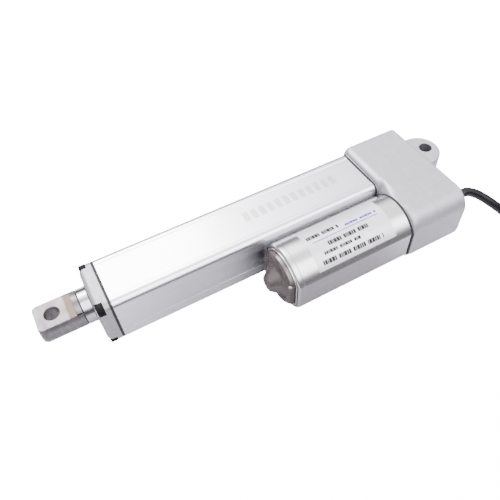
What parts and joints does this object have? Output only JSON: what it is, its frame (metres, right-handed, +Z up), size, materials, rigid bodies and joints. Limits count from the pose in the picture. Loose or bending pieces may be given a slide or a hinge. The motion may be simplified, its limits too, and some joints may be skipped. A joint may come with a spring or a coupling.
{
  "type": "linear actuator",
  "caption": "Parallel-drive electric linear actuator: round rod in a square tube, motor beside it, gearbox behind, eye at each end.",
  "frame": {"origin": "centre of the base of the actuator's own box, on the surface that the gearbox lies on, without its cord", "axes": "+X along the rod, the way it extends; +Y from the rod towards the motor; +Z up"},
  "size_m": [0.3717, 0.1234, 0.04],
  "materials": {
    "anodised_tube": "natural anodised extrusion, satin",
    "cast_zinc": "die-cast and tumbled, satin light grey",
    "rod_end_zinc": "turned and zinc-plated, satin",
    "chromed_rod": "ground and chromed, gloss",
    "motor_can_steel": "deep-drawn, bright zinc-plated",
    "end_bell_steel": "pressed, dark passivated",
    "black_screw": "black oxide, satin",
    "ground_steel": "ground, bright",
    "spring_steel": "blued",
    "sintered_steel": "sintered, oiled, matte",
    "bearing_steel": "ground and polished",
    "cage_brass": "pressed, satin",
    "sintered_bronze": "sintered, oiled",
    "copper": "enamelled winding wire and bare copper",
    "lamination": "stacked sheet, varnished",
    "ferrite": "sintered ferrite, matte",
    "carbon": "pressed carbon, matte",
    "phenolic": "punched phenolic sheet, matte",
    "acetal": "moulded acetal, satin",
    "circuit_board": "solder mask, satin",
    "sensor_plastic": "moulded, matte",
    "black_rubber": "moulded nitrile, matte",
    "cord_jacket": "extruded PVC, satin",
    "tie_nylon": "moulded nylon, satin",
    "plug_plastic": "moulded nylon, satin"
  },
  "bodies": {
    "housing": {"compound_gear_axle": "ground_steel", "cord_coil_tie": "tie_nylon", "cord_grommet": "black_rubber", "cord_plug": "plug_plastic", "cover_screw_far_low": "black_screw", "cover_screw_far_top": "black_screw", "cover_screw_near_low": "black_screw", "cover_screw_near_top": "black_screw", "end_bell_screw_far": "ground_steel", "end_bell_screw_near": "ground_steel", "front_cap": "cast_zinc", "front_cap_screw_far_low": "black_screw", "front_cap_screw_far_top": "black_screw", "front_cap_screw_near_low": "black_screw", "front_cap_screw_near_top": "black_screw", "front_gasket": "black_rubber", "gearbox_cover": "cast_zinc", "gearbox_housing": "cast_zinc", "limit_sensor_board": "circuit_board", "limit_sensor_front": "sensor_plastic", "limit_sensor_rear": "sensor_plastic", "motor_brush_far": "carbon", "motor_brush_near": "carbon", "motor_brush_plate": "phenolic", "motor_can": "motor_can_steel", "motor_end_bell": "end_bell_steel", "motor_front_bush": "sintered_bronze", "motor_magnet_low": "ferrite", "motor_magnet_top": "ferrite", "motor_rear_bush": "sintered_bronze", "outer_tube": "anodised_tube", "power_cord_coil": "cord_jacket", "power_cord_end": "cord_jacket", "power_cord_lead": "cord_jacket", "rear_gasket": "black_rubber", "rod_guide_bush": "sintered_bronze", "rod_wiper_seal": "black_rubber", "screw_bearing_ball_cage": "cage_brass", "screw_bearing_outer_ring": "bearing_steel", "tube_screw_low": "black_screw", "tube_screw_top": "black_screw"},
    "rod": {"rod_tube": "chromed_rod", "rod_end": "rod_end_zinc", "drive_nut": "acetal", "nut_magnet": "ferrite"},
    "screw": {"lead_screw": "ground_steel", "screw_gear": "sintered_steel", "screw_gear_lock_ring": "spring_steel", "screw_bearing_inner_ring": "bearing_steel"},
    "compound_gear": {"compound_gear": "sintered_steel"},
    "rotor": {"motor_shaft": "ground_steel", "armature_core": "lamination", "armature_winding_front": "copper", "armature_winding_rear": "copper", "commutator": "copper", "motor_pinion": "sintered_steel"}
  },
  "joints": [
    {"name": "motor_spin", "type": "hinge", "parent": "housing", "child": "rotor", "pos_m": [-0.0325, 0.01875, 0.02], "axis": [-1, 0, 0], "range_deg": [0, 62531.25]},
    {"name": "compound_gear_spin", "type": "hinge", "parent": "housing", "child": "compound_gear", "pos_m": [-0.0925, -0.00185, 0.02], "axis": [1, 0, 0], "range_deg": [0, 25875.5]},
    {"name": "screw_spin", "type": "hinge", "parent": "housing", "child": "screw", "pos_m": [-0.0925, -0.01945, 0.02], "axis": [1, 0, 0], "range_deg": [-13500.5, 0]},
    {"name": "rod_slide", "type": "slide", "parent": "housing", "child": "rod", "axis": [1, 0, 0], "range_m": [0, 0.15001]}
  ],
  "couplings": [
    {"joint": "compound_gear_spin", "follows": "motor_spin", "ratio": 0.41379},
    {"joint": "screw_spin", "follows": "motor_spin", "ratio": -0.21589},
    {"joint": "rod_slide", "follows": "motor_spin", "m_per_rad": 0.00013744}
  ]
}
